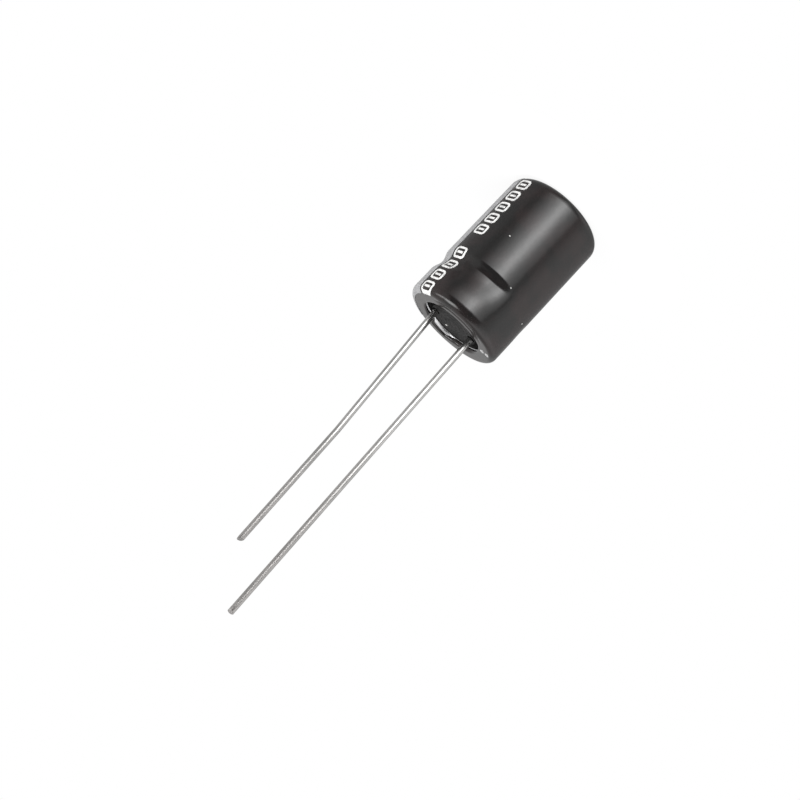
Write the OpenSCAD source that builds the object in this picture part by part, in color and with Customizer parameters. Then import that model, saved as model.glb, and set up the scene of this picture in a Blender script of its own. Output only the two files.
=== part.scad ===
// Radial electrolytic capacitor, standing on its closed head with its two leads up.
// The origin is the middle of the head; the negative lead is on the +X side.

/* [Case] */
// Outside diameter of the aluminium can
case_d = 8; // [7.6:0.1:9]
// Length of the can from its closed head to its curled rim
case_l = 12.2; // [11.4:0.1:16]
// Thickness of the can's drawn wall
can_wall = 0.25; // [0.2:0.01:0.28]
// Thickness of the can's head
head_wall = 0.3; // [0.25:0.01:0.4]
// Rounding of the can's closed end
head_round = 0.6; // [0.45:0.05:0.8]
// Rounding of the can's rim
rim_round = 0.35; // [0.3:0.01:0.4]
// Radius of the lip that is rolled down into the rubber
curl_r = 0.4; // [0.35:0.01:0.45]
// Radius of the mouth inside the rolled lip
mouth_r = 2.75; // [2.65:0.05:2.9]

/* [Bead] */
// Distance from the can's rim to the middle of the rolled bead
bead_from_rim = 3.15; // [3:0.05:3.3]
// Width of the bead along the can
bead_w = 2.1; // [1.9:0.05:2.2]
// Depth of the bead
bead_depth = 0.6; // [0.5:0.05:0.65]
// Rounding of the bead's two shoulders
bead_shoulder = 0.7; // [0.5:0.05:0.75]

/* [Vent] */
// Length of each pressed line of the cross-shaped vent
vent_l = 4; // [3:0.1:4.5]
// Width of the vent's lines
vent_w = 0.2; // [0.1:0.02:0.3]
// Depth of the vent's lines
vent_depth = 0.15; // [0.08:0.01:0.2]

/* [Sleeve] */
// Thickness of the shrunk sleeve
sleeve_wall = 0.15; // [0.08:0.01:0.2]
// How far the sleeve sinks into the bead
sleeve_dip = 0.24; // [0.1:0.01:0.3]
// Radius of the opening that the sleeve leaves round the seal
sleeve_mouth_r = 2.58; // [2.4:0.02:2.64]
// Radius of the opening that the sleeve leaves on the head
sleeve_head_r = 3; // [2.8:0.05:3.2]

/* [Seal] */
// Thickness of the rubber seal
seal_h = 3.9; // [3.7:0.05:4.2]
// Radius of the flat raised pad in the middle of the seal's outer face
seal_pad_r = 2.15; // [2.1:0.05:2.3]
// Height of the pad
seal_pad_h = 0.12; // [0.05:0.01:0.2]
// Radius of the rubber's hole round each wire
wire_hole_r = 0.34; // [0.3:0.01:0.4]

/* [Terminals] */
// Distance between the two terminals
lead_pitch = 3.5; // [3.4:0.05:3.6]
// Radius of a terminal's round stem
stem_r = 0.7; // [0.6:0.02:0.75]
// How far the stem reaches into the seal
stem_in_seal = 2.9; // [2.6:0.05:3.1]
// Length of the round stem below the seal
stem_below_seal = 0.25; // [0.15:0.01:0.3]
// Length of the pressed shoulder between the stem and its tab
shoulder_l = 0.5; // [0.4:0.05:0.6]
// Thickness of the pressed tab
tab_t = 0.2; // [0.16:0.01:0.22]
// Width of the pressed tab
tab_w = 1.3; // [1:0.05:1.4]
// Radius of a stitch that ties a tab to its foil
stitch_r = 0.15; // [0.1:0.01:0.2]
// Number of stitches on each tab
stitch_count = 4; // [3:1:5]
// Height of the weld between a stem and its wire
weld_h = 0.35; // [0.3:0.05:0.4]
// Radius of a weld where it meets the stem
weld_r = 0.45; // [0.4:0.01:0.5]

/* [Leads] */
// Radius of the tinned wire
lead_r = 0.25; // [0.22:0.01:0.28]
// Inner bend radius of the wire, measured to its middle
bend_r = 1.5; // [1:0.1:3]
// Length of the negative wire from the can's rim to its kink
short_first = 11.7; // [10:0.1:13]
// Length of the negative wire past its kink
short_second = 10.8; // [10:0.1:12]
// Lean of the negative wire before its kink, in degrees
short_lean = 3.8; // [1:0.1:4]
// Lean of the negative wire past its kink, in degrees
short_tip_lean = 1.7; // [0.5:0.1:3]
// Length of the positive wire from the can's rim to its end
long_l = 26.75; // [24:0.05:28]
// Lean of the positive wire, in degrees
long_lean = 1.6; // [0.5:0.1:2]
// Bevel of a wire's cut end
tip_bevel = 0.06; // [0.03:0.01:0.1]

/* [Winding] */
// Radius of the hole that the winding pin leaves
core_r = 0.75; // [0.7:0.01:0.85]
// Thickness of the anode foil
anode_t = 0.1; // [0.08:0.01:0.11]
// Thickness of the cathode foil
cathode_t = 0.05; // [0.03:0.01:0.06]
// Thickness of the separator paper
paper_t = 0.04; // [0.03:0.01:0.05]
// Thickness of the tape that closes the winding
tape_t = 0.05; // [0.03:0.01:0.06]
// Clearance between one wound layer and the next
layer_gap = 0.01; // [0.01:0.005:0.015]
// Height of the paper
paper_h = 6.7; // [6:0.1:6.8]
// How much lower than the paper the foil stays at each end
foil_margin = 0.4; // [0.3:0.05:0.6]
// Width of the closing tape
tape_h = 5; // [4:0.1:5.5]
// Height of the winding over the inside of the can's head
winding_lift = 0.25; // [0.15:0.05:0.4]

/* [Print] */
// Thickness of the printed ink
ink_t = 0.03; // [0.03:0.005:0.05]
// Angle that the polarity stripe covers
stripe_angle = 74; // [60:1:76]
// Direction of the row of marks, counted from the negative lead
marks_angle = -49; // [-60:1:-44]
// Height of a mark round the can
mark_h = 1.25; // [1:0.05:1.5]
// Width of a mark along the can
mark_w = 0.95; // [0.7:0.05:1]
// Distance from one mark to the next
mark_pitch = 1.22; // [1.15:0.01:1.3]
// Width of a mark's line
mark_line = 0.17; // [0.12:0.01:0.2]
// Height of the first mark over the head
marks_from_head = 1.1; // [0.9:0.05:1.3]

/* [Hidden] */
$fn = 96;
CUT = 0.5;
STRIPE_BAR = [1.4, 0.4];
STRIPE_BAR_PITCH = 2.6;
MARK_ROUND = 0.3;
MARK_ROW_GAP_AT = 5;
MARK_ROW_COUNT = 9;
// Straight steps that each arc of a rolled groove is drawn with
GROOVE_STEPS = 12;
// A bend is thicker than the wire by this much, and the straight lengths run this far into it
BEND_SWELL = 0.002;
BEND_RUN_IN = 0.02;

// Levels along the part, upwards from the surface that it stands on
case_r = case_d / 2;
sleeve_r = case_r + sleeve_wall;
total_l = case_l + 2 * sleeve_wall;
can_low = sleeve_wall;
can_high = can_low + case_l;
bead_z = can_high - bead_from_rim;
bore_r = case_r - can_wall;
seal_high = can_high - can_wall;
seal_low = seal_high - seal_h;
stem_low = seal_low - stem_below_seal;
stem_high = seal_low + stem_in_seal;
tab_top = stem_low - shoulder_l;
paper_low = can_low + head_wall + winding_lift;
foil_low = paper_low + foil_margin;
foil_h = paper_h - 2 * foil_margin;
terminal_x = lead_pitch / 2;

// The wound layers, from the inside: paper, anode foil, paper, cathode foil
PAPER_IN = 0;
ANODE = 1;
PAPER_OUT = 2;
CATHODE = 3;
LAYERS = 4;
layer_t = [paper_t, anode_t, paper_t, cathode_t];
function layer_start(j) = j == 0 ? 0 : layer_start(j - 1) + layer_t[j - 1] + layer_gap;
turn_pitch = layer_start(LAYERS - 1) + layer_t[LAYERS - 1] + layer_gap;
tab_room = tab_t + 6 * layer_gap;
// Each tab lies on the turn of its foil that passes closest to its stem
tab_reach = terminal_x - tab_t / 2 - layer_gap;
negative_turn = round((tab_reach - core_r - layer_start(CATHODE) - cathode_t) / turn_pitch);
positive_turn = round((tab_reach - core_r - layer_start(ANODE) - anode_t) / turn_pitch - 0.5);
turns = floor((bore_r - core_r - tab_room - 2 * turn_pitch - tape_t) / turn_pitch);

// Distance from the axis to the inner face of layer j on turn k, on the +X and on the -X side
function near_x(k, j) = core_r + turn_pitch * k + layer_start(j)
  + (LAYERS * k + j > LAYERS * negative_turn + CATHODE ? tab_room : 0);
function far_x(k, j) = core_r + turn_pitch * (k + 0.5) + layer_start(j)
  + (LAYERS * k + j > LAYERS * positive_turn + ANODE ? tab_room : 0);
// Ends of half turn i of layer j: an even one starts on the +X side, an odd one on the -X side
function half_near(i, j) = near_x(ceil(i / 2), j);
function half_far(i, j) = far_x(floor(i / 2), j);

// Half of a lengthwise section of a round body with two rounded ends and a rolled groove
module body_section(r, low, high, low_round, high_round, groove_depth, shoulder) {
  difference() {
    translate([0, low]) square([r, high - low]);
    corner_cut(r, low, low_round);
    translate([0, high]) mirror([0, 1]) translate([0, -low]) corner_cut(r, low, high_round);
    groove_cut(r, groove_depth, shoulder);
  }
}

// What a rounding of radius c takes off the corner at radius r and level z
module corner_cut(r, z, c) {
  difference() {
    translate([r - c, z - CUT]) square(c + CUT);
    translate([r - c, z + c]) circle(c);
    translate([r - c - CUT, z + c]) square([c + CUT, 2 * CUT]);
    translate([r - c, z + c]) square([c, 2 * CUT]);
  }
}

// What the groove takes off: a round root between two shoulders that it meets without an edge
module groove_cut(r, depth, shoulder) {
  half = bead_w / 2;
  reach = (half * half + depth * depth) / (2 * depth);
  root = reach - shoulder;
  swing = asin(half / reach);
  upper = [for (i = [0:GROOVE_STEPS]) let (a = swing * i / GROOVE_STEPS)
    [r - shoulder + shoulder * cos(a), half - shoulder * sin(a)]];
  middle = [for (i = [1:2 * GROOVE_STEPS - 1]) let (a = swing * (1 - i / GROOVE_STEPS))
    [r - depth + root - root * cos(a), root * sin(a)]];
  lower = [for (i = [GROOVE_STEPS:-1:0]) [upper[i][0], -upper[i][1]]];
  translate([0, bead_z])
    polygon(concat([[r + CUT, half]], upper, middle, lower, [[r + CUT, -half]]));
}

// Section of the lip's rolled end
module lip_end_section() {
  translate([mouth_r + curl_r, can_high - curl_r]) difference() {
    intersection() {
      circle(curl_r);
      translate([-curl_r, 0]) square(curl_r);
    }
    circle(curl_r - can_wall);
  }
}

module can_inside_section() {
  body_section(bore_r, can_low + head_wall, seal_high, head_round - can_wall, rim_round - can_wall,
    bead_depth, bead_shoulder - can_wall);
}

module can_section() {
  difference() {
    body_section(case_r, can_low, can_high, head_round, rim_round, bead_depth, bead_shoulder);
    can_inside_section();
    translate([0, seal_high - CUT]) square([mouth_r + curl_r, can_wall + 2 * CUT]);
  }
  lip_end_section();
}

module sleeve_outline(grow) {
  body_section(sleeve_r + grow, -grow, total_l + grow, head_round + sleeve_wall + grow,
    rim_round + sleeve_wall + grow, sleeve_dip, bead_shoulder + sleeve_wall + grow);
}

module ink_section() {
  edge = rim_round + sleeve_wall;
  intersection() {
    difference() {
      sleeve_outline(ink_t);
      sleeve_outline(0);
    }
    translate([sleeve_r - edge, head_round / 2]) square([edge + CUT, total_l]);
  }
}

module can() {
  color("silver") difference() {
    rotate_extrude() can_section();
    for (angle = [45, -45]) rotate([0, 0, angle])
      translate([-vent_l / 2, -vent_w / 2, can_low - CUT]) cube([vent_l, vent_w, CUT + vent_depth]);
  }
}

module sleeve() {
  color([0.07, 0.07, 0.08]) rotate_extrude() difference() {
    sleeve_outline(0);
    sleeve_outline(-sleeve_wall);
    translate([0, total_l - sleeve_wall - CUT]) square([sleeve_mouth_r, sleeve_wall + 2 * CUT]);
    translate([0, -CUT]) square([sleeve_head_r, sleeve_wall + 2 * CUT]);
  }
}

module seal() {
  color([0.1, 0.1, 0.1]) difference() {
    rotate_extrude() {
      difference() {
        body_section(bore_r, seal_low, seal_high, rim_round - can_wall, rim_round - can_wall,
          bead_depth, bead_shoulder - can_wall);
        lip_end_section();
      }
      translate([0, seal_high]) square([seal_pad_r, seal_pad_h]);
    }
    for (side = [-1, 1]) translate([side * terminal_x, 0, 0]) terminal_hole();
  }
}

// The hole fits the stem and its weld, and leaves a little room round the wire
module terminal_hole() {
  translate([0, 0, seal_low - CUT]) cylinder(h = stem_in_seal + CUT, r = stem_r);
  translate([0, 0, stem_high]) cylinder(h = weld_h, r1 = weld_r, r2 = wire_hole_r);
  translate([0, 0, stem_high]) cylinder(h = seal_h, r = wire_hole_r);
}

// A round stem pressed flat below the seal; side is 1 for negative and -1 for positive
module terminal(side, foil_x, foil_r, foil_t) {
  tab_in = foil_x + foil_t + layer_gap;
  tab_low = foil_low + foil_margin;
  color("gainsboro") mirror([side > 0 ? 0 : 1, 0, 0]) {
    translate([terminal_x, 0, stem_low]) cylinder(h = stem_high - stem_low, r = stem_r);
    intersection() {
      translate([terminal_x, 0, tab_top]) cylinder(h = 2 * shoulder_l, r = stem_r);
      rotate([90, 0, 0]) linear_extrude(height = 2 * stem_r, center = true) polygon([
        [tab_in, tab_top], [tab_in + tab_t, tab_top],
        [terminal_x + stem_r, stem_low], [terminal_x, stem_low + shoulder_l / 2],
        [terminal_x - stem_r, stem_low]
      ]);
    }
    half_angle = asin(tab_w / 2 / (foil_r + foil_t));
    translate([foil_x - foil_r, 0, tab_low]) rotate([0, 0, -half_angle])
      rotate_extrude(angle = 2 * half_angle)
        translate([foil_r + foil_t + layer_gap, 0])
          square([tab_t, tab_top - tab_low + shoulder_l / 4]);
    stitches(foil_x, tab_in + tab_t / 2 - foil_x, stitch_r);
  }
}

// The stitches stand on the tab, go through the foil and end flush with the foil's inner face
module stitches(from_x, length, r) {
  first = foil_low + 2 * foil_margin;
  step = (foil_h - 3 * foil_margin) / stitch_count;
  for (i = [0:stitch_count - 1])
    translate([from_x, 0, first + step * i]) rotate([0, 90, 0]) cylinder(h = length, r = r);
}

module negative_terminal() {
  near = near_x(negative_turn, CATHODE);
  terminal(1, near, (near + far_x(negative_turn, CATHODE)) / 2, cathode_t);
}

module positive_terminal() {
  far = far_x(positive_turn, ANODE);
  terminal(-1, far, (far + near_x(positive_turn + 1, ANODE)) / 2, anode_t);
}

// A wire made of straight lengths and bends; each step holds a length and the bend that follows
module wire(steps, i = 0) {
  bend = steps[i][1];
  way = bend < 0 ? -1 : 1;
  run_in = i > 0 ? BEND_RUN_IN : 0;
  run_out = i < len(steps) - 1 ? BEND_RUN_IN : 0;
  translate([0, 0, -run_in]) cylinder(h = run_in + steps[i][0] + run_out, r = lead_r);
  translate([0, 0, steps[i][0]]) if (i < len(steps) - 1) {
    mirror([way > 0 ? 0 : 1, 0, 0]) translate([-bend_r, 0, 0]) rotate([90, 0, 0])
      rotate_extrude(angle = abs(bend)) translate([bend_r, 0]) circle(lead_r + BEND_SWELL);
    translate([-way * bend_r, 0, 0]) rotate([0, -bend, 0]) translate([way * bend_r, 0, 0])
      wire(steps, i + 1);
  } else cylinder(h = tip_bevel, r1 = lead_r, r2 = lead_r - tip_bevel);
}

module lead(side, steps) {
  color("darkgray") translate([side * terminal_x, 0, stem_high]) {
    cylinder(h = weld_h, r1 = weld_r, r2 = lead_r);
    wire(concat([[can_high - stem_high, steps[0]]], steps[1]));
  }
}

module negative_lead() {
  lead(1, [short_lean, [[short_first, short_tip_lean - short_lean], [short_second, 0]]]);
}

module positive_lead() {
  lead(-1, [long_lean, [[long_l, 0]]]);
}

// Half turns first to last of layer j, joined into one strip from level low
module strip(j, t, first, last, low, h) {
  translate([0, 0, low]) linear_extrude(height = h) for (i = [first:last]) {
    near = half_near(i, j);
    far = half_far(i, j);
    translate([(near - far) / 2, 0]) half_ring((near + far) / 2, t, i % 2 == 0 ? 1 : -1);
  }
}

module half_ring(r, t, way) {
  intersection() {
    difference() {
      circle(r + t);
      circle(r);
    }
    translate([-r - t - CUT, way > 0 ? 0 : -r - t - CUT]) square([2 * (r + t + CUT), r + t + CUT]);
  }
}

module anode_foil() {
  far = far_x(positive_turn, ANODE);
  color([0.62, 0.62, 0.6]) difference() {
    strip(ANODE, anode_t, 1, 2 * turns - 2, foil_low, foil_h);
    mirror([1, 0, 0]) stitches(far - layer_gap / 2, anode_t + layer_gap, stitch_r);
  }
}

module cathode_foil() {
  near = near_x(negative_turn, CATHODE);
  color([0.72, 0.72, 0.7]) difference() {
    strip(CATHODE, cathode_t, 1, 2 * turns - 1, foil_low, foil_h);
    stitches(near - layer_gap / 2, cathode_t + layer_gap, stitch_r);
  }
}

module inner_separator() {
  color([0.86, 0.8, 0.66]) strip(PAPER_IN, paper_t, 0, 2 * turns + 1, paper_low, paper_h);
}

module outer_separator() {
  color([0.82, 0.76, 0.62]) strip(PAPER_OUT, paper_t, 0, 2 * turns - 1, paper_low, paper_h);
}

// One turn of tape over the outermost paper
module winding_tape() {
  color([0.55, 0.45, 0.3]) strip(ANODE, tape_t, 2 * turns, 2 * turns + 1,
    paper_low + (paper_h - tape_h) / 2, tape_h);
}

module polarity_stripe() {
  bars = floor((bead_z - head_round) / STRIPE_BAR_PITCH);
  color([0.75, 0.75, 0.75]) difference() {
    rotate([0, 0, -stripe_angle / 2]) rotate_extrude(angle = stripe_angle) ink_section();
    for (i = [0:bars - 1])
      translate([bore_r, -STRIPE_BAR[1] / 2, head_round + sleeve_wall + STRIPE_BAR_PITCH * i + CUT])
        cube([sleeve_r, STRIPE_BAR[1], STRIPE_BAR[0]]);
  }
}

// A rounded outline with a bar in it, lying across the can
module mark() {
  rotate([90, 0, 90]) linear_extrude(height = sleeve_r) {
    difference() {
      rounded_plate(mark_h, mark_w, MARK_ROUND);
      rounded_plate(mark_h - 2 * mark_line, mark_w - 2 * mark_line, MARK_ROUND - mark_line);
    }
    square([mark_h / 2, mark_line], center = true);
  }
}

module rounded_plate(w, h, c) {
  square([w, h - 2 * c], center = true);
  square([w - 2 * c, h], center = true);
  for (x = [-1, 1], y = [-1, 1]) translate([x * (w / 2 - c), y * (h / 2 - c)]) circle(c);
}

module printed_marks() {
  color([0.8, 0.8, 0.8]) intersection() {
    rotate_extrude() ink_section();
    rotate([0, 0, marks_angle]) for (i = [0:MARK_ROW_COUNT - 1])
      translate([bore_r / 2, 0, marks_from_head + mark_pitch * (i < MARK_ROW_GAP_AT ? i : i + 1)])
        mark();
  }
}

can();
sleeve();
seal();
negative_terminal();
positive_terminal();
negative_lead();
positive_lead();
anode_foil();
cathode_foil();
inner_separator();
outer_separator();
winding_tape();
polarity_stripe();
printed_marks();
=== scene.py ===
"""Looks of the radial electrolytic capacitor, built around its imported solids."""
import math

import bmesh
import bpy
import numpy as np
from mathutils import Matrix, Vector

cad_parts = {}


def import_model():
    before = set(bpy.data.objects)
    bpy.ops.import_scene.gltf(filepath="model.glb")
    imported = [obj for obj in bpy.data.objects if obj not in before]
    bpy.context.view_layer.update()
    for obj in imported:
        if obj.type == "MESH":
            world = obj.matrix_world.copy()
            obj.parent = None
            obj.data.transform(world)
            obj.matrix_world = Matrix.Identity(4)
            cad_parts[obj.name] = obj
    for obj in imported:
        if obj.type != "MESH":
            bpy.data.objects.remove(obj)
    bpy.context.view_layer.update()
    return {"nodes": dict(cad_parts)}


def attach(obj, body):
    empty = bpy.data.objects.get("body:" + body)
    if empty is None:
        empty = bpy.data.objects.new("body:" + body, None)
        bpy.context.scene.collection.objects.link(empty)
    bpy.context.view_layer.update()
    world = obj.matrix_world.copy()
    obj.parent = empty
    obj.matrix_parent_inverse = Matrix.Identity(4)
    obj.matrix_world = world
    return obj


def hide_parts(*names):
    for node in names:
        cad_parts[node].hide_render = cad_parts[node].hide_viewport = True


# Sizes are in millimetres and angles in degrees, unless a comment says otherwise. A direction
# runs round the part's axis from its positive X; what is called angle is the same in radians.
MM = 0.001

# The case and its film, as in the solids: the rim is the open end, the head the closed one
CASE_R = 4.0
SLEEVE_WALL = 0.15
SLEEVE_R = CASE_R + SLEEVE_WALL
SLEEVE_L = 12.5
HEAD_ROUND = 0.75
RIM_ROUND = 0.5
HEAD_HOLE_R = 3.0

# The bead, and how deep and with what shoulder the film sinks into it
BEAD_Z = 9.2
BEAD_HALF = 1.05
DIP = 0.24
DIP_SHOULDER = 0.85

# The film bridges the bead behind: the middle of the front, how far round from it the film
# leaves the bead, and what share of the dip it bridges
FRONT_MIDDLE = -20
BRIDGE_TURNS = (92, 112)
BRIDGED = 0.92

# The slack film over the bead in front: its levels, and the directions where it starts and fades
SLACK_DIP = 0.29
SLACK_START_Z = 8.2
SLACK_LOW_Z = 8.95
SLACK_END_Z = 11.4
SLACK_STARTS = (-60, -72)
SLACK_FADES = (-100, -130)

# The softer, creased rim in front: what it adds to the rounding, and where it starts and ends
SLACK_RIM = 0.26
SOFT_RIM_STARTS = (-56, -76)
SOFT_RIM_ENDS = (-128, -155)
# The crease: its distance from the axis, its waves, its least distance from the rolled edge,
# and its section as offset and depth
CREASE_R = 3.26
CREASE_WAVE = 0.03
CREASE_WAVES = 4
CREASE_CLEARANCE = 0.01
CREASE_SECTION = ((-0.3, 0.0), (-0.06, 0.03), (0.0, 0.085), (0.05, 0.03), (0.07, 0.015))

# Radius of the film's edge in the mouth by direction: an oval with folds at the leads
MOUTH_EDGE = (
    (-180, 2.66), (-160, 2.72), (-135, 2.66), (-115, 2.6), (-90, 2.58), (-70, 2.6),
    (-40, 2.58), (-10, 2.64), (20, 2.6), (42, 2.68), (54, 2.98), (76, 3.0), (86, 2.86),
    (100, 2.72), (130, 2.7), (155, 2.66), (180, 2.66),
)
# How far the edge is rolled in and down, and how much further behind, by the sine of the direction
LIP_REACH = 0.16
LIP_REACH_BEHIND = 0.1
LIP_DROP = 0.1
LIP_DROP_BEHIND = 0.22
BEHIND = (0.2, 0.9)
# How the hole in the head departs from a circle: size, waves and start of each part, in radians
HEAD_HOLE_WAVES = ((0.04, 2, 1.0), (0.02, 5, 0.0))

# The film's share of its full wall at its two edges, and what each further point adds
EDGE_WALL = 0.45
WALL_GROWTH = 0.14
FULL_WALL = 0.99

# Number of points of the film round the part, and along each length of its profile
AROUND = 224
LIP_STEPS = 12
ROUND_STEPS = 14
RIM_LEVELS = 15
BEAD_LEVELS = 43
BODY_LEVELS = 18
HEAD_RING_STEPS = 3

# The wires, as in the solids: where they start, and each straight length with its lean
TERMINAL_X = 1.75
WIRE_R = 0.25
WIRE_START_Z = 11.4
RIM_Z = 12.35
BEND_R = 1.5
NEGATIVE_RUNS = ((11.7, 3.8), (10.8, 1.7))
POSITIVE_RUNS = ((26.75, 1.6),)
# The sheared end: distance from the tip, share of the width that is left, and slant of the cut
WIRE_TIP = ((0.3, 0.99, 0.0), (0.14, 0.95, 0.3), (0.04, 0.86, 0.5), (0.01, 0.72, 0.5))
# How far each cut is turned round its wire, in radians
NEGATIVE_CUT_TURN = 0.4
POSITIVE_CUT_TURN = 1.3
WIRE_SIDES = 28
WIRE_STEP = 0.8
BEND_STEPS = 4

# Two flecks of ink on the film's flat ring, each by direction and distance from the axis
RIM_FLECKS = ((-175, 3.1), (-176, 3.56))
FLECK_SIZE = (0.2, 0.24, 0.015)
# Dust: grains on the film's side by direction and level, and one on the rubber by its place
FILM_DUST = ((-83.4, 5.40), (-121.1, 8.31), (-167.0, 9.05))
FILM_DUST_SIZE = (0.035, 0.07, 0.055)
RUBBER_DUST = (0.69, 1.19, 12.22)
RUBBER_DUST_SIZE = (0.11, 0.1, 0.05)

# The photograph's camera: its place, the two turns and the roll of its axis, and its lens
CAMERA_PLACE = (-20.6, -83.08, 36.87)
CAMERA_AZIMUTH = 13.3
CAMERA_TILT = 11.6
CAMERA_ROLL = 136.93
LENS = 52.6
SENSOR = 36.0
CLIP_START_M = 0.001

# How bright the softbox looks in a reflection, by direction
SOFTBOX = (
    (-148, 0.0), (-144, 0.15), (-140, 0.95), (-134, 1.3), (-124, 2.0), (-114, 4.4), (-105, 7.4),
    (-98, 6.8), (-92, 4.8), (-82, 2.9), (-72, 1.7), (-62, 0.95), (-51, 0.0),
)
# A colour ramp holds at most 1, so the softbox's values are divided by this and multiplied again
SOFTBOX_PEAK = 8.0
# Its share of that brightness by height: it hangs low behind the camera
SOFTBOX_HEIGHT = (
    (-75, 0.12), (-52, 0.3), (-36, 0.62), (-27, 1.0), (-15, 1.0), (-6, 0.12), (2, 0.0),
)
# A narrow light high over the part, which draws the thin bright line on the rim
EDGE_LIGHT = ((-84, 0.0), (-70, 0.8), (-58, 1.0), (-34, 0.9), (-15, 0.0))
EDGE_LIGHT_HEIGHT = ((44, 0.0), (52, 1.0), (62, 1.0), (72, 0.0))
EDGE_LIGHT_POWER = 7.0
# The rest of the room and the white table
ROOM = (
    (-180, 0.95), (-164, 0.8), (-154, 0.6), (-146, 0.45), (-140, 0.15), (-60, 0.08),
    (-51, 0.42), (-41, 0.36), (-30, 0.52), (20, 0.45), (60, 0.56), (77, 0.5), (95, 0.33),
    (115, 0.33), (135, 0.5), (175, 0.9),
)
ROOM_HEIGHT = ((-25, 0.62), (15, 1.0))
ROOM_POWER = 1.6
# How bright the surround is for the camera, and how much light it gives to matt surfaces
BACKDROP_WHITE = 1.0
SURROUND_LIGHT = 0.55

# The lamps, which don't show in reflections: place, target, size, and power in watts
KEY_LAMP = ((-120, -160, 220), (0, 0, 8), 140, 0.9)
FILL_LAMP = ((180, -60, 90), (0, 0, 10), 160, 0.35)

# The floor, just under the part, is plain white to the camera but for a shadow near the axis
FLOOR_HALF = 2000
FLOOR_Z = -0.02
FLOOR_GREY = 0.86
SHADOW_FADES = (5, 12)
WHITE_AT_PART = 0.9

# Finishes, each a darker and a lighter colour that a noise mixes
FILM = ((0.0056, 0.0052, 0.0051), (0.0115, 0.0078, 0.0076))
STRIPE_INK = ((0.17, 0.17, 0.175), (0.27, 0.27, 0.275))
MARK_INK = ((0.4, 0.4, 0.4), (0.62, 0.62, 0.61))
FLECK_INK = ((0.2, 0.2, 0.2), (0.4, 0.4, 0.4))
DUST = ((0.3, 0.3, 0.29), (0.5, 0.5, 0.48))
RUBBER = ((0.006, 0.006, 0.006), (0.017, 0.016, 0.016))
CAN = ((0.6, 0.6, 0.61), (0.8, 0.8, 0.81))
# The terminals: a rougher metal of their own, made darker as painted shade where they leave the
# rubber
TERMINAL_WITH_SHADE = ((0.2, 0.2, 0.2), (0.34, 0.33, 0.33))
ANODE = ((0.3, 0.3, 0.29), (0.45, 0.45, 0.44))
CATHODE = ((0.5, 0.5, 0.49), (0.66, 0.66, 0.65))
BRIGHT_WIRE = ((0.46, 0.46, 0.45), (0.62, 0.61, 0.6))
DULL_WIRE = ((0.4, 0.39, 0.38), (0.52, 0.5, 0.49))
INNER_PAPER = ((0.5, 0.4, 0.24), (0.72, 0.62, 0.43))
OUTER_PAPER = ((0.46, 0.37, 0.22), (0.68, 0.58, 0.4))
TAPE = ((0.3, 0.2, 0.09), (0.42, 0.3, 0.15))

# Rings in the rubber, and its shine, which stops at the pad's edge: the recess beyond is left
# without reflection as painted shade
RUBBER_RING_PITCH = 0.42
RECESS_SHADE_RADII = (1.8, 2.2)
RUBBER_SHINE = 0.1
# Levels between which the wires turn from bright to dull
WIRE_DULLS = (20, 34)
# A wire's least roughness, and what its marks and its dull end add
WIRE_ROUGHNESS = 0.16
MARK_ROUGHNESS = 0.12
TIP_ROUGHNESS = 0.2
# Shares of a metal's roughness where its marks are faintest and strongest
SMOOTHER = 0.85
ROUGHER = 1.2


def smooth(low, high, x):
    """0 below low and 1 above high, with a smooth step between."""
    t = min(max((x - low) / (high - low), 0.0), 1.0)
    return t * t * (3 - 2 * t)


def turn_from(angle, middle):
    """Degrees from the middle direction to an angle in radians, from -180 to 180."""
    away = angle - math.radians(middle)
    return math.degrees(math.atan2(math.sin(away), math.cos(away)))


def new_object(name, data):
    made = bpy.data.objects.new(name, data)
    bpy.context.scene.collection.objects.link(made)
    return made


# Nodes of materials and of the world


class Graph:
    """Adds nodes to a tree and links them: a keyword names an input socket."""

    def __init__(self, tree, output_kind):
        tree.nodes.clear()
        self.tree = tree
        self.output = self(output_kind)

    def __call__(self, kind, operation=None, **inputs):
        made = self.tree.nodes.new(kind)
        if operation:
            made.operation = operation
        for name, value in inputs.items():
            self.feed(made.inputs[name.replace("_", " ")], value)
        return made

    def feed(self, socket, value):
        """Gives a socket a constant, or links another node's socket to it."""
        if isinstance(value, bpy.types.NodeSocket):
            self.tree.links.new(value, socket)
        else:
            socket.default_value = value

    def math(self, operation, *values):
        made = self.tree.nodes.new("ShaderNodeMath")
        made.operation = operation
        for socket, value in zip(made.inputs, values):
            self.feed(socket, value)
        return made.outputs[0]

    def length(self, vector):
        made = self("ShaderNodeVectorMath", operation="LENGTH")
        self.feed(made.inputs[0], vector)
        return made.outputs["Value"]

    def mix(self, share, first, second):
        """A mix of two shaders: only the first where the share is 0."""
        made = self("ShaderNodeMixShader", Fac=share)
        self.feed(made.inputs[1], first.outputs[0])
        self.feed(made.inputs[2], second.outputs[0])
        return made

    def surface(self, shader):
        self.feed(self.output.inputs["Surface"], shader.outputs[0])


def set_ramp(ramp, stops):
    """Gives a colour ramp its stops, each a position and a colour of three numbers."""
    elements = ramp.color_ramp.elements
    while len(elements) < len(stops):
        elements.new(0.5)
    for element, (position, colour) in zip(elements, sorted(stops)):
        element.position = position
        element.color = (*colour, 1)


def range_of(node, value, low, high, low_at=0.3, high_at=0.7):
    """Spreads a value over a new range, from low at low_at to high at high_at."""
    made = node(
        "ShaderNodeMapRange", Value=value,
        From_Min=low_at, From_Max=high_at, To_Min=low, To_Max=high,
    )
    return made.outputs["Result"]


def new_material(name):
    material = bpy.data.materials.new(name)
    material.use_nodes = True
    return material, Graph(material.node_tree, "ShaderNodeOutputMaterial")


def own_place(node):
    """The part's own coordinates, which move with it."""
    return node("ShaderNodeTexCoord").outputs["Object"]


# Camera, light and floor


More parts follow.
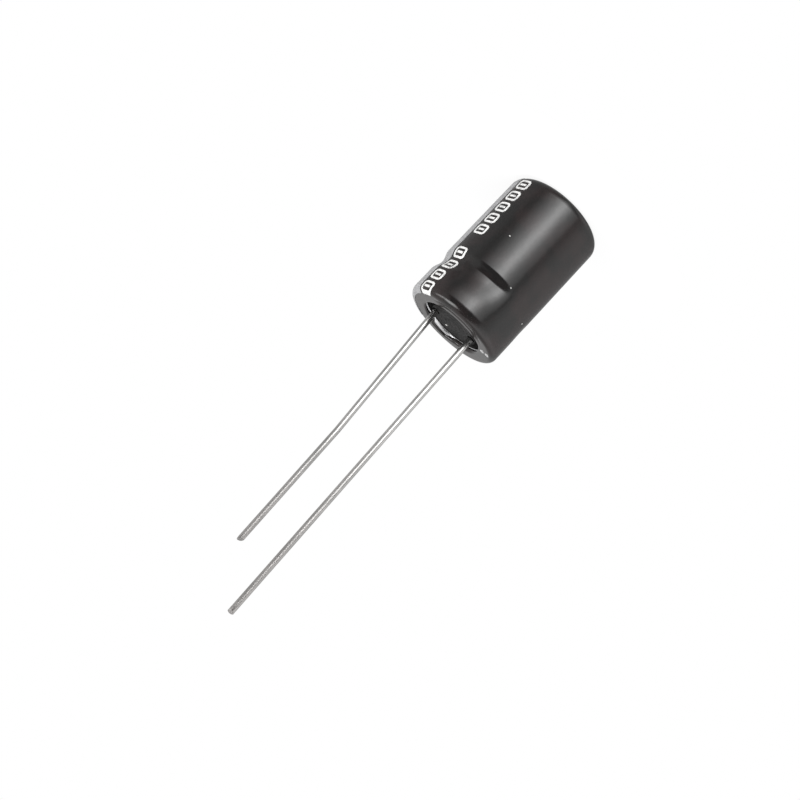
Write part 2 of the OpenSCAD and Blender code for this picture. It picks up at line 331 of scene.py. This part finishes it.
def place_camera():
    azimuth, tilt, roll = (
        math.radians(a) for a in (CAMERA_AZIMUTH, CAMERA_TILT, CAMERA_ROLL)
    )
    forward = Vector((
        math.sin(azimuth) * math.cos(tilt),
        math.cos(azimuth) * math.cos(tilt),
        -math.sin(tilt),
    ))
    level = forward.cross(Vector((0, 0, 1))).normalized()
    upright = level.cross(forward)
    up = upright * math.cos(roll) + level * math.sin(roll)
    right = forward.cross(up)
    data = bpy.data.cameras.new("camera")
    data.lens = LENS
    data.sensor_width = SENSOR
    data.clip_start = CLIP_START_M
    camera = new_object("camera", data)
    turn = Matrix((right, up, -forward)).transposed().to_4x4()
    camera.matrix_world = Matrix.Translation(Vector(CAMERA_PLACE) * MM) @ turn
    bpy.context.scene.camera = camera


def brightness(node, share, stops, span, peak=1.0):
    """A brightness by angle, where the share runs from 0 to 1 over the full span of degrees."""
    ramp = node("ShaderNodeValToRGB", Fac=share)
    set_ramp(ramp, [(angle / span + 0.5, (value / peak,) * 3) for angle, value in stops])
    return ramp.outputs["Color"]


def light_shape(node, around, level, directions, heights, peak=1.0):
    """How bright one light looks: its brightness by direction times its share by height."""
    return node.math(
        "MULTIPLY",
        brightness(node, around, directions, 360, peak),
        brightness(node, level, heights, 180),
    )


def studio_brightness(node):
    """What a reflection shows: the softbox, the narrow light and the room, by where it looks."""
    way = node("ShaderNodeTexCoord").outputs["Generated"]
    xyz = node("ShaderNodeSeparateXYZ", Vector=way)
    turn = node.math("ARCTAN2", xyz.outputs["Y"], xyz.outputs["X"])
    around = node.math("MULTIPLY_ADD", turn, 0.5 / math.pi, 0.5)
    height = node.math("ARCSINE", xyz.outputs["Z"])
    level = node.math("MULTIPLY_ADD", height, 1 / math.pi, 0.5)
    box = light_shape(node, around, level, SOFTBOX, SOFTBOX_HEIGHT, SOFTBOX_PEAK)
    edge = light_shape(node, around, level, EDGE_LIGHT, EDGE_LIGHT_HEIGHT)
    room = light_shape(node, around, level, ROOM, ROOM_HEIGHT)
    room = node.math("MULTIPLY", room, ROOM_POWER)
    room = node.math("MULTIPLY_ADD", edge, EDGE_LIGHT_POWER, room)
    return node.math("MULTIPLY_ADD", box, SOFTBOX_PEAK, room)


def light_world():
    """A white surround for the camera, the studio in reflections, and soft light for the rest."""
    world = bpy.data.worlds.new("studio")
    bpy.context.scene.world = world
    world.use_nodes = True
    node = Graph(world.node_tree, "ShaderNodeOutputWorld")
    white = (1, 1, 1, 1)
    studio = node("ShaderNodeBackground", Color=white, Strength=studio_brightness(node))
    backdrop = node("ShaderNodeBackground", Color=white, Strength=BACKDROP_WHITE)
    soft = node("ShaderNodeBackground", Color=white, Strength=SURROUND_LIGHT)
    path = node("ShaderNodeLightPath")
    lit = node.mix(path.outputs["Is Glossy Ray"], soft, studio)
    seen = node.math(
        "MAXIMUM", path.outputs["Is Camera Ray"], path.outputs["Is Transmission Ray"]
    )
    node.surface(node.mix(seen, lit, backdrop))


def add_lamp(name, place, target, size, power):
    data = bpy.data.lights.new(name, "AREA")
    data.shape = "DISK"
    data.size = size * MM
    data.energy = power
    lamp = new_object(name, data)
    lamp.location = Vector(place) * MM
    way = Vector(target) * MM - lamp.location
    lamp.rotation_euler = way.to_track_quat("-Z", "Y").to_euler()
    lamp.visible_glossy = False


def floor_material():
    """White to the camera, with a little of the part's shadow under it and close round it."""
    material, node = new_material("floor_white")
    lit = node("ShaderNodeBsdfDiffuse", Color=(FLOOR_GREY, FLOOR_GREY, FLOOR_GREY, 1))
    white = node("ShaderNodeEmission", Color=(1, 1, 1, 1), Strength=BACKDROP_WHITE)
    reach = node.length(own_place(node))
    near, far = SHADOW_FADES
    fade = range_of(node, reach, WHITE_AT_PART, 1.0, near * MM, far * MM)
    path = node("ShaderNodeLightPath")
    share = node.math("MULTIPLY", fade, path.outputs["Is Camera Ray"])
    node.surface(node.mix(share, lit, white))
    return material


def add_floor():
    half = FLOOR_HALF * MM
    corners = [(-half, -half, 0), (half, -half, 0), (half, half, 0), (-half, half, 0)]
    mesh = bpy.data.meshes.new("floor")
    mesh.from_pydata(corners, [], [(0, 1, 2, 3)])
    floor = new_object("floor", mesh)
    floor.location.z = FLOOR_Z * MM
    floor.visible_glossy = False
    floor.visible_shadow = False
    floor.data.materials.append(floor_material())


# Materials


def stretched(node, along):
    """The part's own coordinates with their marks drawn out along its axis."""
    made = node("ShaderNodeMapping", Vector=own_place(node), Scale=(1, 1, along))
    return made.outputs["Vector"]


def noise(node, place, scale, detail=3.0, roughness=0.5):
    """A noise from 0 to 1 whose scale is in waves per millimetre."""
    made = node(
        "ShaderNodeTexNoise", Vector=place, Scale=scale / MM, Detail=detail, Roughness=roughness
    )
    return made.outputs["Fac"]


def mixed(node, value, colours, low_at=0.35, high_at=0.65):
    """Turns a value into a colour between a finish's two."""
    ramp = node("ShaderNodeValToRGB", Fac=value)
    set_ramp(ramp, list(zip((low_at, high_at), colours)))
    return ramp.outputs["Color"]


def bump(node, height, depth, before=None):
    """A bump whose depth is in millimetres, on top of another where one is given."""
    made = node("ShaderNodeBump", Height=height, Distance=depth * MM, Strength=1.0)
    if before is not None:
        node.feed(made.inputs["Normal"], before)
    return made.outputs["Normal"]


def principled(node, colour, roughness, normal, metallic=0.0):
    shader = node(
        "ShaderNodeBsdfPrincipled",
        Base_Color=colour, Roughness=roughness, Metallic=metallic, IOR=1.5, Normal=normal,
    )
    node.surface(shader)
    return shader


def film_material():
    """Shrunk glossy film: near black, a faint warm cast in patches and soft ripples."""
    material, node = new_material("sleeve_film")
    place = own_place(node)
    patches = noise(node, place, scale=0.45, detail=2.0)
    grain = noise(node, place, scale=5.0, detail=5.0, roughness=0.65)
    ripple = bump(node, noise(node, place, scale=0.6, detail=2.0), depth=0.016)
    principled(
        node,
        colour=mixed(node, patches, FILM, low_at=0.42, high_at=0.62),
        roughness=range_of(node, grain, low=0.1, high=0.22),
        normal=bump(node, grain, depth=0.0035, before=ripple),
    )
    return material


def ink_material(name, colours):
    """Matt ink, thin enough to let the film's black through in places."""
    material, node = new_material(name)
    place = own_place(node)
    cover = noise(node, place, scale=3.2, detail=4.0, roughness=0.6)
    principled(
        node,
        colour=mixed(node, cover, colours, low_at=0.3, high_at=0.55),
        roughness=range_of(node, noise(node, place, scale=8.0), low=0.32, high=0.5),
        normal=bump(node, cover, depth=0.004),
    )
    return material


def rubber_material():
    """Moulded rubber with faint rings round its middle, black in the recess round its pad, where
    its reflection is taken away as painted shade.
    """
    material, node = new_material("seal_rubber")
    place = own_place(node)
    xyz = node("ShaderNodeSeparateXYZ", Vector=place)
    flat = node("ShaderNodeCombineXYZ", X=xyz.outputs["X"], Y=xyz.outputs["Y"])
    reach = node.length(flat.outputs[0])
    rings = node.math("SINE", node.math("MULTIPLY", reach, 2 * math.pi / (RUBBER_RING_PITCH * MM)))
    grain = noise(node, place, scale=7.0, detail=4.0, roughness=0.65)
    shader = principled(
        node,
        colour=mixed(node, noise(node, place, scale=1.1), RUBBER),
        roughness=range_of(node, grain, low=0.42, high=0.62),
        normal=bump(node, grain, depth=0.016, before=bump(node, rings, depth=0.012)),
    )
    inside, outside = RECESS_SHADE_RADII
    # Painted shade: the reflection fades to nothing past the pad's edge, so the recess round it
    # turns black
    pad_shine_recess_shade = range_of(node, reach, RUBBER_SHINE, 0.0, inside * MM, outside * MM)
    node.feed(shader.inputs["Specular IOR Level"], pad_shine_recess_shade)
    return material


def metal_material(name, colours, rough, scale, along=1.0):
    """Bare metal; an along below 1 draws its marks out along the part's axis."""
    material, node = new_material(name)
    marks = noise(node, stretched(node, along), scale, detail=5.0, roughness=0.6)
    principled(
        node,
        colour=mixed(node, marks, colours),
        roughness=range_of(node, marks, rough * SMOOTHER, rough * ROUGHER),
        normal=bump(node, marks, depth=0.003),
        metallic=1.0,
    )
    return material


def wire_material():
    """Tinned wire: bright by the can, and duller and greyer towards its end."""
    material, node = new_material("lead_wire")
    height = node("ShaderNodeSeparateXYZ", Vector=own_place(node)).outputs["Z"]
    low, high = WIRE_DULLS
    # Share from bright by the can to darker and rougher towards the tip
    towards_tip = range_of(node, height, 0.0, 1.0, low * MM, high * MM)
    marks = noise(node, stretched(node, along=0.15), scale=3.0)
    colour = node("ShaderNodeMix")
    colour.data_type = "RGBA"
    # The first input is the share; the colours are the seventh and eighth, and the third output
    node.feed(colour.inputs[0], towards_tip)
    node.feed(colour.inputs[6], mixed(node, marks, BRIGHT_WIRE))
    node.feed(colour.inputs[7], mixed(node, marks, DULL_WIRE))
    grain = node.math("MULTIPLY_ADD", marks, MARK_ROUGHNESS, WIRE_ROUGHNESS)
    principled(
        node,
        colour=colour.outputs[2],
        roughness=node.math("MULTIPLY_ADD", towards_tip, TIP_ROUGHNESS, grain),
        normal=bump(node, marks, depth=0.0012),
        metallic=1.0,
    )
    return material


def paper_material(name, colours):
    material, node = new_material(name)
    fibres = noise(node, own_place(node), scale=4.0, detail=6.0, roughness=0.7)
    principled(
        node,
        colour=mixed(node, fibres, colours),
        roughness=range_of(node, fibres, low=0.5, high=0.8),
        normal=bump(node, fibres, depth=0.008),
    )
    return material


def tape_material():
    material, node = new_material("tape_film")
    clouds = noise(node, own_place(node), scale=1.5)
    principled(
        node,
        colour=mixed(node, clouds, TAPE),
        roughness=range_of(node, clouds, low=0.15, high=0.3),
        normal=bump(node, clouds, depth=0.006),
    )
    return material


# Pieces


def add_piece(name, mesh, material):
    """Puts a mesh into the scene as a piece of the part."""
    piece = new_object(name, mesh)
    piece.data.materials.append(material)
    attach(piece, "root")
    return piece


def mesh_of(name, shape, flat=None):
    """Turns an edited shape into a mesh that looks outward, smooth but for one flat face."""
    for face in shape.faces:
        face.smooth = face != flat
    bmesh.ops.recalc_face_normals(shape, faces=shape.faces)
    mesh = bpy.data.meshes.new(name)
    shape.to_mesh(mesh)
    shape.free()
    return mesh


def skin(shape, rings):
    """Joins each closed ring of points to the next by four-sided faces."""
    for here, there in zip(rings, rings[1:]):
        count = len(here)
        for i in range(count):
            j = (i + 1) % count
            shape.faces.new((here[i], here[j], there[j], there[i]))


# The sleeve


def dip_profile(z):
    """How far the film has sunk into the bead at a level, where it follows it closely."""
    t = abs(z - BEAD_Z)
    if t >= BEAD_HALF:
        return 0.0
    reach = (BEAD_HALF ** 2 + DIP ** 2) / (2 * DIP)
    root = reach - DIP_SHOULDER
    if t > BEAD_HALF * root / reach:
        return DIP_SHOULDER - math.sqrt(DIP_SHOULDER ** 2 - (BEAD_HALF - t) ** 2)
    return DIP - root + math.sqrt(root ** 2 - t ** 2)


def slack_profile(z):
    """The dip of the slack film: a steep side, then a slow rise to the rim."""
    if z < SLACK_LOW_Z:
        return SLACK_DIP * smooth(SLACK_START_Z, SLACK_LOW_Z, z)
    return SLACK_DIP * (1 - smooth(SLACK_LOW_Z, SLACK_END_Z, z))


def past(bounds, direction):
    """Going clockwise, 0 up to the first direction and 1 past the last, smooth between."""
    first, last = bounds
    return smooth(-first, -last, -direction)


def dip(angle, z):
    """The film follows the bead under the print, hangs slack in front and bridges it behind."""
    bridge = BRIDGED * smooth(*BRIDGE_TURNS, abs(turn_from(angle, FRONT_MIDDLE)))
    direction = turn_from(angle, 0)
    slack = past(SLACK_STARTS, direction)
    fade = 1 - past(SLACK_FADES, direction)
    close = (1 - bridge) * (1 - slack) * dip_profile(z)
    return close + slack * fade * slack_profile(z)


def table_at(table, angle):
    """The value of a table of directions and sizes, smooth between its entries."""
    direction = turn_from(angle, 0)
    for (low, first), (high, second) in zip(table, table[1:]):
        if low <= direction <= high:
            return first + (second - first) * smooth(low, high, direction)
    return table[0][1]


def quarter(centre_r, centre_z, radius, first):
    """Points of a quarter of a circle in the profile, which ends 90 degrees below its first."""
    points = []
    for i in range(ROUND_STEPS + 1):
        a = math.radians(first - 90 * i / ROUND_STEPS)
        points.append((centre_r + radius * math.cos(a), centre_z + radius * math.sin(a)))
    return points


def mouth_points(angle, soft):
    """The rolled edge in the mouth, and the flat ring round it with its crease."""
    edge = table_at(MOUTH_EDGE, angle)
    behind = smooth(*BEHIND, math.sin(angle))
    roll_top = edge + LIP_REACH + LIP_REACH_BEHIND * behind
    drop = LIP_DROP + LIP_DROP_BEHIND * behind
    points = []
    for i in range(LIP_STEPS):
        u = math.sin(0.5 * math.pi * (1 - i / LIP_STEPS))
        r = roll_top - (roll_top - edge) * u
        points.append((r, SLEEVE_L - drop * (1 - math.sqrt(1 - u * u))))
    crease = CREASE_R + CREASE_WAVE * math.sin(CREASE_WAVES * angle)
    for offset, depth in CREASE_SECTION:
        points.append((max(crease + offset, roll_top + CREASE_CLEARANCE), SLEEVE_L - depth * soft))
    return points


def head_hole(angle):
    waves = (size * math.sin(count * angle + start) for size, count, start in HEAD_HOLE_WAVES)
    return HEAD_HOLE_R + sum(waves)


def outer_profile(angle):
    """Points of the film's outside at one direction, from the mouth's edge to the head's edge."""
    direction = turn_from(angle, 0)
    soft = past(SOFT_RIM_STARTS, direction) * (1 - past(SOFT_RIM_ENDS, direction))
    rim = RIM_ROUND + SLACK_RIM * soft
    bead_top = BEAD_Z + BEAD_HALF
    bead_foot = BEAD_Z - BEAD_HALF
    levels = (
        *np.linspace(SLEEVE_L - rim, bead_top, RIM_LEVELS)[1:-1],
        *np.linspace(bead_top, bead_foot, BEAD_LEVELS),
        *np.linspace(bead_foot, HEAD_ROUND, BODY_LEVELS)[1:-1],
    )
    ring = np.linspace(SLEEVE_R - HEAD_ROUND, head_hole(angle), HEAD_RING_STEPS + 1)[1:]
    return np.array(
        mouth_points(angle, soft)
        + quarter(SLEEVE_R - rim, SLEEVE_L - rim, rim, 90)
        + [(SLEEVE_R - dip(angle, z), z) for z in levels]
        + quarter(SLEEVE_R - HEAD_ROUND, HEAD_ROUND, HEAD_ROUND, 0)
        + [(r, 0.0) for r in ring]
    )


def inner_profile(outer):
    """The film's inside: the outside moved in by its thickness, thinner at its two edges."""
    along = np.gradient(outer, axis=0)
    along /= np.linalg.norm(along, axis=1)[:, None]
    inward = np.stack([along[:, 1], -along[:, 0]], 1)
    steps = np.arange(len(outer))
    from_edge = np.minimum(steps, steps[::-1])
    wall = SLEEVE_WALL * np.clip(EDGE_WALL + from_edge * WALL_GROWTH, 0, FULL_WALL)
    return outer + inward * wall[:, None]


def make_sleeve():
    """The film, as a closed profile carried round the axis."""
    shape = bmesh.new()
    rings = []
    for k in range(AROUND):
        angle = 2 * math.pi * k / AROUND
        outer = outer_profile(angle)
        loop = [*outer, *inner_profile(outer)[::-1]]
        rings.append([
            shape.verts.new((r * math.cos(angle) * MM, r * math.sin(angle) * MM, z * MM))
            for r, z in loop
        ])
    skin(shape, rings + rings[:1])
    piece = add_piece("sleeve_film", mesh_of("sleeve_film", shape), film_material())
    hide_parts("sleeve")


# The wires


def bend_points(x, z, lean, next_lean):
    """Points of a round bend that starts at a place and turns the wire to its next lean."""
    reach = BEND_R if next_lean > lean else -BEND_R
    start = math.radians(lean)
    turn = math.radians(next_lean) - start
    points = []
    for i in range(1, BEND_STEPS + 1):
        a = start + turn * i / BEND_STEPS
        points.append((
            x + reach * (math.cos(a) - math.cos(start)),
            z + reach * (math.sin(a) - math.sin(start)),
        ))
    return points


def straight_points(x, z, lean, length):
    """Evenly spaced points of a straight length that starts at a place."""
    a = math.radians(lean)
    steps = int(length / WIRE_STEP)
    lengths = (length * i / steps for i in range(1, steps + 1))
    return [(x - d * math.sin(a), z + d * math.cos(a)) for d in lengths]


def wire_path(side, runs):
    """Points of a wire's middle in its plane: out of the seal, then each bend and length."""
    points = [(side * TERMINAL_X, WIRE_START_Z), (side * TERMINAL_X, RIM_Z)]
    lean = 0.0
    for length, next_lean in runs:
        points += bend_points(*points[-1], lean, next_lean)
        points += straight_points(*points[-1], next_lean, length)
        lean = next_lean
    return points


def wire_ring(shape, x, z, lean, cut_turn, pinch=1.0, slant=0.0):
    """A ring of points round a wire, squeezed and slanted across its cut; turns in radians."""
    ring = []
    for k in range(WIRE_SIDES):
        a = 2 * math.pi * k / WIRE_SIDES
        u = WIRE_R * math.cos(a)
        v = WIRE_R * math.sin(a)
        across = u * math.cos(cut_turn) + v * math.sin(cut_turn)
        squeeze = (pinch - 1) * across
        u += squeeze * math.cos(cut_turn)
        v += squeeze * math.sin(cut_turn)
        rise = slant * (across - WIRE_R)
        ring.append(shape.verts.new((
            (x + u * math.cos(lean) - rise * math.sin(lean)) * MM,
            v * MM,
            (z + u * math.sin(lean) + rise * math.cos(lean)) * MM,
        )))
    return ring


def wire_mesh(name, path, cut_turn):
    """A round wire whose last end is sheared: pinched a little and cut at a slant."""
    shape = bmesh.new()
    rings = []
    for i, (x, z) in enumerate(path[:-1]):
        before = path[max(i - 1, 0)]
        after = path[i + 1]
        lean = math.atan2(before[0] - after[0], after[1] - before[1])
        rings.append(wire_ring(shape, x, z, lean, cut_turn))
    x, z = path[-1]
    for back, pinch, slant in WIRE_TIP:
        tip_x = x + back * math.sin(lean)
        tip_z = z - back * math.cos(lean)
        rings.append(wire_ring(shape, tip_x, tip_z, lean, cut_turn, pinch, slant))
    skin(shape, rings)
    cut = shape.faces.new(rings[-1])
    shape.faces.new(reversed(rings[0]))
    return mesh_of(name, shape, flat=cut)


def make_wire(name, node_name, path, cut_turn, material):
    piece = add_piece(name, wire_mesh(name, path, cut_turn), material)
    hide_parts(node_name)


# Flecks and dust


def add_grain(shape, place, direction, size):
    """A flattened ball at a place, turned round the part's axis."""
    centre = Matrix.Translation(Vector(place) * MM)
    turn = Matrix.Rotation(math.radians(direction), 4, "Z")
    stretch = Matrix.Diagonal((*(Vector(size) * MM), 1))
    bmesh.ops.create_icosphere(
        shape, subdivisions=2, radius=1, matrix=centre @ turn @ stretch
    )


def place_at(direction, r, z):
    a = math.radians(direction)
    return r * math.cos(a), r * math.sin(a), z


def make_rim_flecks():
    shape = bmesh.new()
    for direction, r in RIM_FLECKS:
        add_grain(shape, place_at(direction, r, SLEEVE_L), direction, FLECK_SIZE)
    add_piece("rim_flecks", mesh_of("rim_flecks", shape), ink_material("fleck_ink", FLECK_INK))


def make_dust():
    shape = bmesh.new()
    for direction, z in FILM_DUST:
        r = SLEEVE_R - dip(math.radians(direction), z)
        add_grain(shape, place_at(direction, r, z), direction, FILM_DUST_SIZE)
    add_grain(shape, RUBBER_DUST, 0, RUBBER_DUST_SIZE)
    add_piece("dust_grains", mesh_of("dust_grains", shape), ink_material("dust", DUST))


def dress_nodes(nodes):
    """Gives each solid that stays in view its own finish."""
    # The terminals' metal is darker partly as painted shade where they leave the rubber
    terminal = metal_material("terminal_metal", TERMINAL_WITH_SHADE, rough=0.45, scale=2.0, along=0.2)
    finishes = {
        "can": metal_material("can_metal", CAN, rough=0.28, scale=3.0),
        "seal": rubber_material(),
        "negative_terminal": terminal,
        "positive_terminal": terminal,
        "anode_foil": metal_material("anode_metal", ANODE, rough=0.65, scale=12.0),
        "cathode_foil": metal_material("cathode_metal", CATHODE, rough=0.5, scale=12.0),
        "inner_separator": paper_material("inner_paper", INNER_PAPER),
        "outer_separator": paper_material("outer_paper", OUTER_PAPER),
        "winding_tape": tape_material(),
        "polarity_stripe": ink_material("stripe_ink", STRIPE_INK),
        "printed_marks": ink_material("mark_ink", MARK_INK),
    }
    for name, material in finishes.items():
        solid = nodes[name]
        solid.data.materials.clear()
        solid.data.materials.append(material)


def main():
    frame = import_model()
    bpy.context.scene.view_settings.view_transform = "Standard"
    place_camera()
    light_world()
    add_floor()
    add_lamp("key", *KEY_LAMP)
    add_lamp("fill", *FILL_LAMP)
    wire = wire_material()
    make_sleeve()
    negative_path = wire_path(1, NEGATIVE_RUNS)
    positive_path = wire_path(-1, POSITIVE_RUNS)
    make_wire("negative_wire", "negative_lead", negative_path, NEGATIVE_CUT_TURN, wire)
    make_wire("positive_wire", "positive_lead", positive_path, POSITIVE_CUT_TURN, wire)
    make_rim_flecks()
    make_dust()
    dress_nodes(frame["nodes"])


main()
